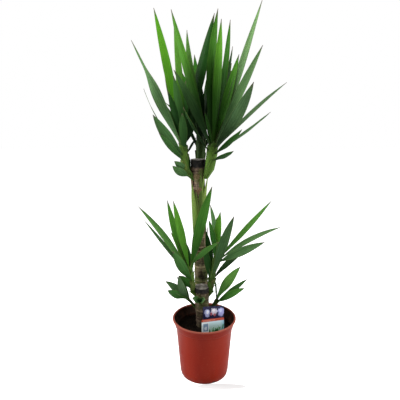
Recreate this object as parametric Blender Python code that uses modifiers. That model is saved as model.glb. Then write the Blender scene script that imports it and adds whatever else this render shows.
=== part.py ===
"""Potted yucca: two cut canes with leafy crowns, in a terracotta coloured nursery pot, with two plant labels.

Metres, +Z up. The origin is the middle of the pot's underside, on the floor.
The side seen from the front is -Y.
"""
import math
import random

import bmesh
import bpy
from mathutils import Vector

MM = 0.001

# Pot: a 19 cm nursery pot with a rolled lip, a collar, a tapered body and a low foot ring
RIM_R = 0.095
RIM_Z = 0.178
LIP_INNER_R = 0.0895
LIP_DROP = 0.004
COLLAR_TOP_R = 0.0918
COLLAR_LOW_R = 0.0870
COLLAR_LOW_Z = 0.153
BODY_TOP_R = 0.0842
BODY_LOW_R = 0.0724
BODY_LOW_Z = 0.0085
FOOT_R = 0.070
FOOT_RING = 0.002
WALL = 0.0019
PLATE_Z = 0.008
PLATE_THICK = 0.002
PAD_R = 0.016
POT_STEPS = 48
NOTCH_R = 0.0058
NOTCH_COUNT = 4
NOTCH_FIRST = -67.0

# Soil
SOIL_Z = 0.149
GAP = 0.0003
SOIL_STEPS = 32

# Canes: centre line points (x, y, z) and radius, all in millimetres
TALL_PATH = [
    (-2, 50, 30, 20), (-4, 52, 150, 20), (-9, 53, 280, 20),
    (-16, 55, 525, 19), (-18, 55, 600, 19), (-19, 55, 645, 21),
]
SHORT_PATH = [(0, 6, 60, 20), (-3, 7, 149, 21), (-8, 8, 270, 21)]
BARK_ROW = 0.030
BARK_SIDES = 20
BARK_JITTER = 0.0007
WAX_THICK = 0.0015
WAX_SKIRT_TALL = 0.027
WAX_SKIRT_SHORT = 0.016

# Leaves
LEAF_THICK = 0.0012
LEAF_ROWS = 7
CHANNEL = 0.22
TIP_HALF = 0.0008

# Crowns, in millimetres. base, foot, crest: points of the shoot. radius: at base, foot and crest.
# bare: share of the shoot, from its foot, below the leaves.
# Each leaf: its tip's place from the crest (right, back, up), its width, its arch, its roll and its twist
# in degrees, then its sway to the side. A leaf sits the lower on its shoot the more it leans out, and a few
# rows end with the share of the shoot at which the leaf sits instead, below 0 between its foot and its base.
CROWNS = {
    "crown_left": {
        "base": (-28, 50, 583), "foot": (-54, 40, 620), "crest": (-62, 42, 700),
        "radius": (8, 10, 9), "bare": 0.2,
        "leaves": [
            (-128, -62, 260, 28, -1, -72, 72, 0),
            (-110, 18, 145, 5, -13, 0, 0, 0),
            (-72, -102, 72, 28, -4, -50, 0, 0),
            (-60, -74, 24, 17, 0, -52, 0, 0),
            (-23, -32, -55, 22, 2, -60, 0, 0, -0.5),
            (-28, -32, -68, 24, -4, -60, 0, 0, -0.7),
            (-81, 58, 367, 25, 4, 45, 0, 0),
            (-23, 28, 312, 20, 8, 30, 0, 0),
            (-18, 68, 221, 22, 4, 0, 0, 0),
            (-20, -62, 172, 24, 7, -10, 0, 0),
            (92, 118, 368, 31, 2, -60, 0, 0),
            (-38, -42, 136, 22, 4, -30, 0, 0),
            (-58, 112, 195, 26, 8, 0, 0, 0),
            (5, 125, 175, 26, 10, 0, 0, 0),
            (-72, 96, 118, 24, 12, 0, 0, 0),
            (38, -8, 78, 28, 5, 78, 0, 0),
            (38, 2, 9, 8, 0, 60, 0, 0, 0.45),
            (10, 0, -26, 16, 0, -77, 0, 0, -0.5),
            (-66, 76, 255, 24, 8, 0, 0, 0),
            (2, -72, 76, 24, 5, 0, 0, 0),
        ],
    },
    "crown_right": {
        "base": (2, 50, 590), "foot": (14, 38, 618), "crest": (24, 38, 690),
        "radius": (9, 14, 11), "bare": 0.45,
        "leaves": [
            (10, -28, 353, 27, 2, 0, 0, -12),
            (18, -50, 323, 25, 4, 0, 0, 2),
            (46, 22, 337, 24, -6, -20, 0, 0),
            (56, 52, 273, 15, -4, -15, 0, 0),
            (69, -8, 243, 26, 0, -75, 0, 0),
            (126, -18, 376, 20, -2, -85, 20, 0),
            (128, -38, 261, 24, 1, 60, 0, 0),
            (99, -98, 163, 32, -9, 50, 0, 0),
            (203, 2, 170, 11, 8, -80, 0, 0),
            (160, -8, 90, 13, -4, 38, 0, 0),
            (75, -68, 44, 18, -4, 35, 0, 0),
            (51, -98, -11, 17, -3, 30, 0, 0),
            (-106, -48, 198, 26, 6, -50, 0, 0),
            (-79, -112, 100, 10, 2, 0, 0, -9),
            (-6, 60, 238, 24, 4, 0, 0, 0),
            (52, 36, 205, 24, 4, 0, 0, 0),
            (105, 70, 195, 26, 10, 30, 0, 0),
            (85, 105, 110, 26, 12, 20, 0, 0),
            (-24, -34, 90, 12, 3, 0, 0, 0),
            (58, 110, 235, 26, 8, 0, 0, 0),
            (-113, -16, 354, 26, -5, -50, 0, 0),
            (-72, 0, 306, 22, -15, -80, 0, 0),
        ],
    },
    "crown_back": {
        "base": (-16, 66, 562), "foot": (-13, 80, 600), "crest": (-10, 88, 715),
        "radius": (8, 13, 12), "bare": 0.35,
        "leaves": [
            (48, 62, 262, 28, 6, 0, 0, 0),
            (-60, 104, 190, 26, 10, 0, 0, 0),
            (60, 118, 170, 28, 12, 0, 0, 0),
            (2, 150, 120, 26, 14, 0, 0, 0),
            (-110, 80, 95, 24, 14, 0, 0, 0),
            (104, 84, 70, 24, 14, 0, 0, 0),
            (-6, 16, 165, 28, 2, 0, 0, 0),
            (26, 20, 150, 28, 2, 0, 0, 0),
            (-2, -30, 88, 26, 4, 0, 0, 0),
            (10, -34, 56, 26, 4, 0, 0, 0),
            (-20, 96, 240, 26, 8, 0, 0, 0),
        ],
    },
    "crown_low_left": {
        "base": (-18, 7, 236), "foot": (-33, 6, 258), "crest": (-43, 0, 330),
        "radius": (7, 9, 8), "bare": 0.12,
        "leaves": [
            (-140, -32, 194, 18, 10, 85, 0, 0),
            (-131, 8, 145, 11, 2, 60, 0, 0),
            (-65, 28, 200, 21, -5, 60, 0, 0),
            (-44, -22, 208, 22, 1, -60, 0, 0),
            (-41, -112, 92, 27, 0, -48, 0, 0),
            (63, -42, 252, 32, 6, 40, 0, 0),
            (82, -72, 104, 20, 5, 40, 0, 0, 1.1),
            (-31, -30, -9, 24, 4, -60, 0, 0),
            (-10, -10, 82, 20, 4, 0, 0, 0),
            (-60, 84, 86, 24, 12, 0, 0, 0),
            (-22, 84, 66, 22, 12, 0, 0, 0),
            (-62, 46, 150, 22, 6, 0, 0, 0),
        ],
    },
    "crown_low_right": {
        "base": (6, 11, 234), "foot": (17, 12, 255), "crest": (33, 1, 362),
        "radius": (7, 9, 7), "bare": 0.8,
        "leaves": [
            (-17, -3, 160, 24, 6, -30, 0, 0),
            (11, -23, 145, 21, 4, 20, 0, 0),
            (46, -63, 142, 28, 4, 35, 0, 0, 0.35),
            (160, 17, 168, 16, 0, -70, 0, 0),
            (184, -13, 98, 15, 13, -70, 0, 0),
            (133, -53, 66, 24, 2, -75, 0, 0),
            (18, -25, -65, 5, 6, 0, 0, 0, -0.1),
            (-21, -31, 123, 20, 6, 0, 0, 0),
            (-29, 9, 81, 22, 3, 70, 0, 0, 0.35),
            (45, 87, 53, 26, 12, 0, 0, 0),
            (40, 115, 47, 24, 12, 0, 0, 0),
            (91, 19, 21, 17, 8, -68, 0, 0, 0.33),
            (-35, -11, 43, 20, 3, -60, 0, 0, 0.25),
            (5, 43, 113, 24, 6, 0, 0, 0),
        ],
    },
    "shoot_foot_left": {
        "base": (-14, 9, 190), "foot": (-28, 12, 205), "crest": (-50, 6, 236),
        "radius": (4, 5, 4), "bare": 0.6,
        "leaves": [
            (-62, -36, 68, 24, 2, 70, 0, 0),
            (-56, -42, 43, 27, -1, -66, 0, 0),
            (-23, -42, 88, 22, -8, -46, 0, 0),
            (-34, 40, 50, 18, 6, 0, 0, 0),
        ],
    },
    "shoot_foot_right": {
        "base": (8, 13, 178), "foot": (24, 20, 196), "crest": (38, 18, 222),
        "radius": (4, 6, 5), "bare": 0.4,
        "leaves": [
            (66, -30, 119, 28, 5, 70, 0, 0),
            (88, -20, 77, 16, 0, -77, 0, 0),
            (78, -50, 62, 20, 3, -84, 0, 0),
            (-8, 6, 70, 8, 3, 0, 0, 0),
            (50, 50, 62, 18, 6, 0, 0, 0),
        ],
    },
    "bud_front": {
        "base": (-7, -6, 222), "foot": (-11, -14, 227), "crest": (-13, -20, 234),
        "radius": (4, 5, 4), "bare": 0.2,
        "leaves": [
            (-22, -10, 18, 20, 3, 68, 0, 0),
            (16, -14, 16, 18, 3, -68, 0, 0),
            (1, -13, 20, 18, 3, 0, 0, 0),
        ],
    },
}

# Labels: two plastic cards standing in the soil at the front right
CARD_THICK = 0.0009
CARD_FRONT = {"at": (0.024, -0.060), "yaw": 14.0, "wide": 0.066, "top": 0.203}
CARD_BACK = {"at": (0.026, -0.043), "yaw": 8.0, "wide": 0.061, "top": 0.233}
CARD_FOOT_Z = 0.1535
STAKE_WIDE = 0.016
STAKE_LOW_Z = 0.112

TERRACOTTA = (0.33, 0.045, 0.022)
SOIL_BROWN = (0.022, 0.014, 0.010)
BARK_BROWN = (0.16, 0.11, 0.075)
WAX_DARK = (0.022, 0.018, 0.018)
LEAF_GREEN = (0.055, 0.20, 0.022)
CARD_BLUE = (0.10, 0.14, 0.38)
CARD_WHITE = (0.55, 0.68, 0.70)


def clear_scene():
    """Remove every object of the scene the script starts in."""
    for ob in list(bpy.data.objects):
        bpy.data.objects.remove(ob, do_unlink=True)


def new_collection(name):
    coll = bpy.data.collections.new(name)
    bpy.context.scene.collection.children.link(coll)
    return coll


def material(name, colour, rough, metallic=0.0):
    mat = bpy.data.materials.new(name)
    mat.use_nodes = True
    shader = mat.node_tree.nodes["Principled BSDF"]
    shader.inputs["Base Color"].default_value = (*colour, 1.0)
    shader.inputs["Roughness"].default_value = rough
    shader.inputs["Metallic"].default_value = metallic
    mat.diffuse_color = (*colour, 1.0)
    return mat


def put(ob, coll, mat=None):
    """Keep the object in one collection only, and give it its material."""
    for old in list(ob.users_collection):
        old.objects.unlink(ob)
    coll.objects.link(ob)
    if mat:
        ob.data.materials.clear()
        ob.data.materials.append(mat)
    return ob


def apply(ob, mod):
    bpy.context.view_layer.objects.active = ob
    bpy.ops.object.modifier_apply(modifier=mod.name)


def boolean(ob, operation, other, solver="EXACT"):
    """Cut by one object, or join with a collection, and apply it."""
    mod = ob.modifiers.new(operation.title(), "BOOLEAN")
    mod.operation = operation
    mod.solver = solver
    if isinstance(other, bpy.types.Collection):
        mod.operand_type = "COLLECTION"
        mod.collection = other
    else:
        mod.object = other
    apply(ob, mod)


def mesh_object(name, verts, edges, coll):
    mesh = bpy.data.meshes.new(name)
    mesh.from_pydata(verts, edges, [])
    ob = bpy.data.objects.new(name, mesh)
    coll.objects.link(ob)
    return ob


def turned(name, profile, steps, coll):
    """Turn a profile of (radius, height) pairs about Z into a closed solid."""
    verts = [(r, 0.0, z) for r, z in profile]
    ob = mesh_object(name, verts, [(i, i + 1) for i in range(len(verts) - 1)], coll)
    screw = ob.modifiers.new("Screw", "SCREW")
    screw.axis = "Z"
    screw.angle = math.tau
    screw.steps = steps
    screw.render_steps = steps
    screw.use_merge_vertices = True
    screw.merge_threshold = 0.0001
    apply(ob, screw)
    return ob


def as_cutter(ob, coll):
    put(ob, coll)
    ob.hide_render = True
    ob.display_type = "WIRE"
    return ob


def remove(ob):
    bpy.data.objects.remove(ob, do_unlink=True)


def make_pot(parts, cutters, mat):
    inner_low = BODY_LOW_R - WALL
    inner_top = BODY_TOP_R - WALL
    profile = [
        (0.0, PLATE_Z + PLATE_THICK),
        (inner_low - 0.0018, PLATE_Z + PLATE_THICK),
        (inner_low, PLATE_Z + PLATE_THICK + 0.002),
        (inner_top, COLLAR_LOW_Z - 0.002),
        (COLLAR_LOW_R - WALL, COLLAR_LOW_Z + 0.001),
        (LIP_INNER_R, RIM_Z - LIP_DROP),
        (LIP_INNER_R, RIM_Z - 0.0007),
        (LIP_INNER_R + 0.0008, RIM_Z),
        (RIM_R - 0.0012, RIM_Z),
        (RIM_R, RIM_Z - 0.0012),
        (RIM_R, RIM_Z - LIP_DROP + 0.0006),
        (RIM_R - 0.0008, RIM_Z - LIP_DROP),
        (COLLAR_TOP_R, RIM_Z - LIP_DROP - 0.0006),
        (COLLAR_LOW_R, COLLAR_LOW_Z),
        (BODY_TOP_R, COLLAR_LOW_Z - 0.0022),
        (BODY_LOW_R, BODY_LOW_Z),
        (BODY_LOW_R - 0.0010, BODY_LOW_Z - 0.0020),
        (FOOT_R + 0.0008, 0.002),
        (FOOT_R, 0.0),
        (FOOT_R - FOOT_RING, 0.0),
        (FOOT_R - FOOT_RING, PLATE_Z),
        (PAD_R + 0.002, PLATE_Z),
        (PAD_R, 0.0),
        (0.0, 0.0),
    ]
    pot = turned("pot", profile, POT_STEPS, parts)
    for k in range(NOTCH_COUNT):
        angle = math.radians(NOTCH_FIRST + 360.0 / NOTCH_COUNT * k)
        middle = FOOT_R
        bpy.ops.mesh.primitive_cylinder_add(
            vertices=16, radius=NOTCH_R, depth=0.012,
            location=(middle * math.cos(angle), middle * math.sin(angle), 0.0),
            rotation=(0.0, math.pi / 2, angle))
        notch = as_cutter(bpy.context.object, cutters)
        boolean(pot, "DIFFERENCE", notch)
        remove(notch)
    put(pot, parts, mat)
    return pot


def path_at(path, z):
    """Centre and radius of a cane at a height, in metres."""
    h = z / MM
    for low, high in zip(path, path[1:]):
        if h <= high[2] or high is path[-1]:
            share = (h - low[2]) / (high[2] - low[2])
            return [(low[k] + (high[k] - low[k]) * share) * MM for k in (0, 1, 3)]
    return None


def bark_rows(path, seed):
    """A small swelling or waist for each row of bark, from a seeded draw."""
    draw = random.Random(seed)
    count = int(path[-1][2] * MM / BARK_ROW) + 3
    return [draw.uniform(-1.0, 1.0) * BARK_JITTER for _ in range(count)]


def bark_radius(path, rows, z):
    step = z / BARK_ROW
    k = int(step)
    share = step - k
    swell = rows[k] * (1 - share) + rows[min(k + 1, len(rows) - 1)] * share
    return path_at(path, z)[2] + swell


def bark_tube(name, path, rows, low, high, grow, coll):
    """A stretch of cane between two heights, grown by a margin all round."""
    heights = [high]
    k = int(high / BARK_ROW)
    while k * BARK_ROW > low + 0.001:
        if high - k * BARK_ROW > 0.001:
            heights.append(k * BARK_ROW)
        k -= 1
    heights.append(low)
    profile = [(0.0, high)] + [(bark_radius(path, rows, z), z) for z in heights] + [(0.0, low)]
    ob = turned(name, profile, BARK_SIDES, coll)
    for v in ob.data.vertices:
        x, y, z = v.co
        r = math.hypot(x, y)
        cx, cy, _ = path_at(path, z)
        if r > 0.001:
            a = math.atan2(y, x)
            wave = 1.0 + 0.025 * math.sin(3 * a + z * 21) + 0.012 * math.sin(5 * a - z * 34)
            r = r * wave + grow
            x, y = r * math.cos(a), r * math.sin(a)
        if z > high - 0.0001:
            z += grow
        elif z < low + 0.0001:
            z -= grow
        v.co = (x + cx, y + cy, z)
    return ob


def make_cane(name, path, rows, parts, mat):
    ob = bark_tube(name, path, rows, path[0][2] * MM, path[-1][2] * MM, 0.0, parts)
    put(ob, parts, mat)
    return ob


def make_wax(name, path, rows, skirt, parts, cutters, mat):
    """A thin cup of wax over the sawn top of a cane."""
    top = path[-1][2] * MM
    cup = bark_tube(name, path, rows, top - skirt, top, GAP + WAX_THICK, parts)
    hollow = as_cutter(bark_tube(name + "_cut", path, rows, top - 0.1, top, GAP, cutters), cutters)
    boolean(cup, "DIFFERENCE", hollow)
    remove(hollow)
    put(cup, parts, mat)
    return cup


def smooth(a, b, t):
    k = max(0.0, min(1.0, (t - a) / (b - a)))
    return k * k * (3 - 2 * k)


def width_share(t):
    """Blade width along its length: narrow over the sheath, widest past the middle, then a long point."""
    if t < 0.55:
        return 0.40 + 0.60 * math.sin(0.5 * math.pi * t / 0.55) ** 2
    s = (t - 0.55) / 0.45
    return max(0.0, 1.0 - s ** 1.7) ** 0.9


def leaf_frame(crown, row):
    """Root, middle and tip of a leaf's arch, and the level direction across its root."""
    right, back, up, width, arch, roll, twist, sway = row[:8]
    foot = Vector(crown["foot"])
    crest = Vector(crown["crest"])
    tip = crest + Vector((right, back, up))
    chord = tip - crest
    lean = math.degrees(math.atan2(math.hypot(chord.x, chord.y), chord.z))
    seat = crown["bare"] + (1.0 - crown["bare"]) * min(1.0, max(-0.45, 1.0 - lean / 80.0))
    if len(row) > 8:
        seat = row[8]
    root = foot.lerp(crest, seat) if seat > 0 else foot.lerp(Vector(crown["base"]), -seat)
    out = Vector((tip.x - root.x, tip.y - root.y, 0.0)).normalized()
    root = root + out * crown["radius"][2] * 0.35
    along = (tip - root).normalized()
    rise = Vector((-out.x * along.z, -out.y * along.z, along.dot(out)))
    across = Vector((-out.y, out.x, 0.0))
    middle = (root + tip) / 2 + rise * arch * 2 + across * sway * 2
    return root * MM, middle * MM, tip * MM, across


def leaf_point(frame, row, t, s):
    """A point of the leaf's middle sheet. t runs from root to tip, s from edge to edge, -1 to 1."""
    root, middle, tip, across = frame
    p = root * (1 - t) ** 2 + middle * 2 * t * (1 - t) + tip * t * t
    along = ((middle - root) * (1 - t) + (tip - middle) * t).normalized()
    level = (across - along * across.dot(along)).normalized()
    under = level.cross(along)
    turn = math.radians(row[5] * smooth(0.0, 0.45, t) + row[6] * smooth(0.4, 0.8, t))
    side = level * math.cos(turn) + under * math.sin(turn)
    below = side.cross(along).normalized()
    half = max(TIP_HALF, width_share(t) * row[3] * MM / 2)
    return p + side * s * half - below * CHANNEL * abs(s) * half


def make_leaf(name, crown, row, coll):
    """A channelled blade: a grid bent along its arch, then given its thickness."""
    frame = leaf_frame(crown, row)
    bm = bmesh.new()
    bmesh.ops.create_grid(bm, x_segments=2, y_segments=LEAF_ROWS, size=1.0)
    for v in bm.verts:
        t = (v.co.y + 1.0) / 2.0
        v.co = leaf_point(frame, row, t, v.co.x)
    mesh = bpy.data.meshes.new(name)
    bm.to_mesh(mesh)
    bm.free()
    ob = bpy.data.objects.new(name, mesh)
    coll.objects.link(ob)
    thick = ob.modifiers.new("Solidify", "SOLIDIFY")
    thick.thickness = LEAF_THICK
    thick.offset = 0.0
    apply(ob, thick)
    return ob


def make_shoot(name, crown, coll):
    """The stem of a crown: a tapered tube from inside the cane up to a blunt top between the leaves."""
    base, foot, crest = (Vector(crown[key]) * MM for key in ("base", "foot", "crest"))
    r_base, r_foot, r_crest = (r * MM for r in crown["radius"])
    top = crest + (crest - foot).normalized() * r_crest
    points = [(base, r_base), (foot, r_foot), (foot.lerp(crest, 0.5), (r_foot + r_crest) / 2 * 1.06),
              (crest, r_crest), (top, r_crest * 0.45)]
    curve = bpy.data.curves.new(name, "CURVE")
    curve.dimensions = "3D"
    curve.bevel_depth = 1.0
    curve.bevel_resolution = 1
    curve.use_fill_caps = True
    spline = curve.splines.new("POLY")
    spline.points.add(len(points) - 1)
    for point, (place, radius) in zip(spline.points, points):
        point.co = (*place, 1.0)
        point.radius = radius
    ob = bpy.data.objects.new(name, curve)
    coll.objects.link(ob)
    bpy.ops.object.select_all(action="DESELECT")
    ob.select_set(True)
    bpy.context.view_layer.objects.active = ob
    bpy.ops.object.convert(target="MESH")
    ob = bpy.context.object
    bm = bmesh.new()
    bm.from_mesh(ob.data)
    bmesh.ops.remove_doubles(bm, verts=bm.verts, dist=0.00005)
    bmesh.ops.recalc_face_normals(bm, faces=bm.faces)
    bm.to_mesh(ob.data)
    bm.free()
    ob.select_set(False)
    return ob


def make_crown(name, crown, hollows, parts, mat):
    """Shoot and leaves fused into one solid, cut back where the shoot meets its cane."""
    leaves = new_collection(name + "_leaves")
    shoot = make_shoot(name, crown, parts)
    for k, row in enumerate(crown["leaves"]):
        make_leaf(f"{name}_leaf_{k:02d}", crown, row, leaves)
    boolean(shoot, "UNION", leaves)
    for leaf in list(leaves.objects):
        remove(leaf)
    bpy.data.collections.remove(leaves)
    for hollow in hollows:
        boolean(shoot, "DIFFERENCE", hollow)
    put(shoot, parts, mat)
    return shoot


def box(name, size, at, yaw, coll):
    bpy.ops.mesh.primitive_cube_add(size=1.0, location=at, rotation=(0.0, 0.0, math.radians(yaw)))
    ob = bpy.context.object
    ob.name = name
    ob.scale = size
    bpy.ops.object.transform_apply(location=True, rotation=True, scale=True)
    put(ob, coll)
    return ob


def make_card(name, card, parts, cutters, mat):
    """A plastic card with a stake that goes down into the soil, and the cutter for the stake's slot."""
    x, y = card["at"]
    tall = card["top"] - CARD_FOOT_Z
    ob = box(name, (card["wide"], CARD_THICK, tall), (x, y, CARD_FOOT_Z + tall / 2), card["yaw"], parts)
    bevel = ob.modifiers.new("Bevel", "BEVEL")
    bevel.width = 0.003
    bevel.segments = 3
    bevel.limit_method = "WEIGHT"
    weights = ob.data.attributes.new("bevel_weight_edge", "FLOAT", "EDGE")
    for edge in ob.data.edges:
        a, b = (ob.data.vertices[k].co for k in edge.vertices)
        short = (a - b).length < CARD_THICK * 1.5
        weights.data[edge.index].value = 1.0 if short else 0.0
    apply(ob, bevel)
    deep = CARD_FOOT_Z + 0.004 - STAKE_LOW_Z
    low = STAKE_LOW_Z + deep / 2
    stake = box(name + "_stake", (STAKE_WIDE, CARD_THICK, deep), (x, y, low), card["yaw"], cutters)
    boolean(ob, "UNION", stake)
    remove(stake)
    slot_size = (STAKE_WIDE + 2 * GAP, CARD_THICK + 2 * GAP, deep + GAP)
    slot = as_cutter(box(name + "_slot", slot_size, (x, y, low - GAP / 2), card["yaw"], cutters), cutters)
    put(ob, parts, mat)
    return ob, slot


def make_soil(parts, holes, mat):
    inner_low = BODY_LOW_R - WALL - GAP
    inner_top = BODY_TOP_R - WALL - GAP
    floor = PLATE_Z + PLATE_THICK + GAP
    rise = (inner_top - inner_low) / (COLLAR_LOW_Z - 0.002 - floor)
    edge = SOIL_Z - 0.003
    profile = [
        (0.0, SOIL_Z + 0.001),
        (0.026, SOIL_Z),
        (0.052, SOIL_Z + 0.001),
        (0.072, SOIL_Z - 0.001),
        (inner_low + rise * (edge - floor) - 0.0006, edge),
        (inner_low - 0.0008, floor + 0.003),
        (inner_low - 0.0030, floor),
        (0.0, floor),
    ]
    soil = turned("soil", profile, SOIL_STEPS, parts)
    for hole in holes:
        boolean(soil, "DIFFERENCE", hole)
    put(soil, parts, mat)
    return soil


def main():
    clear_scene()
    parts = new_collection("potted_yucca")
    cutters = new_collection("cutters")
    leaf_mats = {name: material(name, LEAF_GREEN, 0.42) for name in CROWNS}

    make_pot(parts, cutters, material("pot_plastic", TERRACOTTA, 0.45))
    tall_rows = bark_rows(TALL_PATH, 11)
    short_rows = bark_rows(SHORT_PATH, 12)
    make_cane("cane_tall", TALL_PATH, tall_rows, parts, material("bark_tall", BARK_BROWN, 0.85))
    make_cane("cane_short", SHORT_PATH, short_rows, parts, material("bark_short", BARK_BROWN, 0.85))
    make_wax("wax_tall", TALL_PATH, tall_rows, WAX_SKIRT_TALL, parts, cutters,
             material("wax_tall", WAX_DARK, 0.4))
    make_wax("wax_short", SHORT_PATH, short_rows, WAX_SKIRT_SHORT, parts, cutters,
             material("wax_short", WAX_DARK, 0.4))

    hollows = []
    for key, path, rows, skirt in (("tall", TALL_PATH, tall_rows, WAX_SKIRT_TALL),
                                   ("short", SHORT_PATH, short_rows, WAX_SKIRT_SHORT)):
        low, top = path[0][2] * MM, path[-1][2] * MM
        hollows.append(as_cutter(bark_tube(f"hollow_{key}", path, rows, low, top, GAP, cutters), cutters))
        margin = GAP + WAX_THICK + GAP
        hollows.append(as_cutter(
            bark_tube(f"hollow_wax_{key}", path, rows, top - skirt, top, margin, cutters), cutters))

    for name, crown in CROWNS.items():
        make_crown(name, crown, hollows, parts, leaf_mats[name])

    _, front_slot = make_card("label_front", CARD_FRONT, parts, cutters,
                              material("card_front", CARD_WHITE, 0.35))
    _, back_slot = make_card("label_back", CARD_BACK, parts, cutters, material("card_back", CARD_BLUE, 0.35))
    make_soil(parts, [hollows[0], hollows[2], front_slot, back_slot], material("soil", SOIL_BROWN, 0.95))

    for ob in hollows + [front_slot, back_slot]:
        remove(ob)
    bpy.data.collections.remove(cutters)


main()
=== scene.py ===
"""Potted yucca for the photograph's view: fine blades, bark, wax, peat, a moulded pot, printed cards."""
import math
import random
from collections import namedtuple

import bpy
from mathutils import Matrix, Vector, noise


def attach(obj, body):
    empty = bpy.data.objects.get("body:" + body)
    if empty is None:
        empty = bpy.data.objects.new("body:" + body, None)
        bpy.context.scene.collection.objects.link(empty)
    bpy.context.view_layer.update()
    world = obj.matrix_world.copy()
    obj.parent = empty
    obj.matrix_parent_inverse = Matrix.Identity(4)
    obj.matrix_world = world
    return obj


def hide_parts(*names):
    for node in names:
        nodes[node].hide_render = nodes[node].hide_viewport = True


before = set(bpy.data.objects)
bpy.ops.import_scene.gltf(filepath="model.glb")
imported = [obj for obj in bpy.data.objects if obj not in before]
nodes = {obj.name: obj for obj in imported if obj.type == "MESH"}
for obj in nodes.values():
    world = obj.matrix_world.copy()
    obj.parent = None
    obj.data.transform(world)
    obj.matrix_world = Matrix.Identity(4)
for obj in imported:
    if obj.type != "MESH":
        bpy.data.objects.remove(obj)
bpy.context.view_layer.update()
bpy.ops.object.select_all(action="DESELECT")
MM = 0.001

# Sizes shared with the part's source, metres unless a comment says millimetres
RIM_R, RIM_Z, LIP_INNER_R, LIP_DROP = 0.095, 0.178, 0.0895, 0.004
COLLAR_TOP_R, COLLAR_LOW_R, COLLAR_LOW_Z = 0.0918, 0.0870, 0.153
BODY_TOP_R, BODY_LOW_R, BODY_LOW_Z, FOOT_R = 0.0842, 0.0724, 0.0085, 0.070
WALL, PLATE_Z = 0.0019, 0.008
SOIL_Z = 0.149

# Cane centre lines and radius, millimetres
TALL_PATH = [
    (-2, 50, 30, 20), (-4, 52, 150, 20), (-9, 53, 280, 20),
    (-16, 55, 525, 19), (-18, 55, 600, 19), (-19, 55, 645, 21),
]
SHORT_PATH = [(0, 6, 60, 20), (-3, 7, 149, 21), (-8, 8, 270, 21)]

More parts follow.
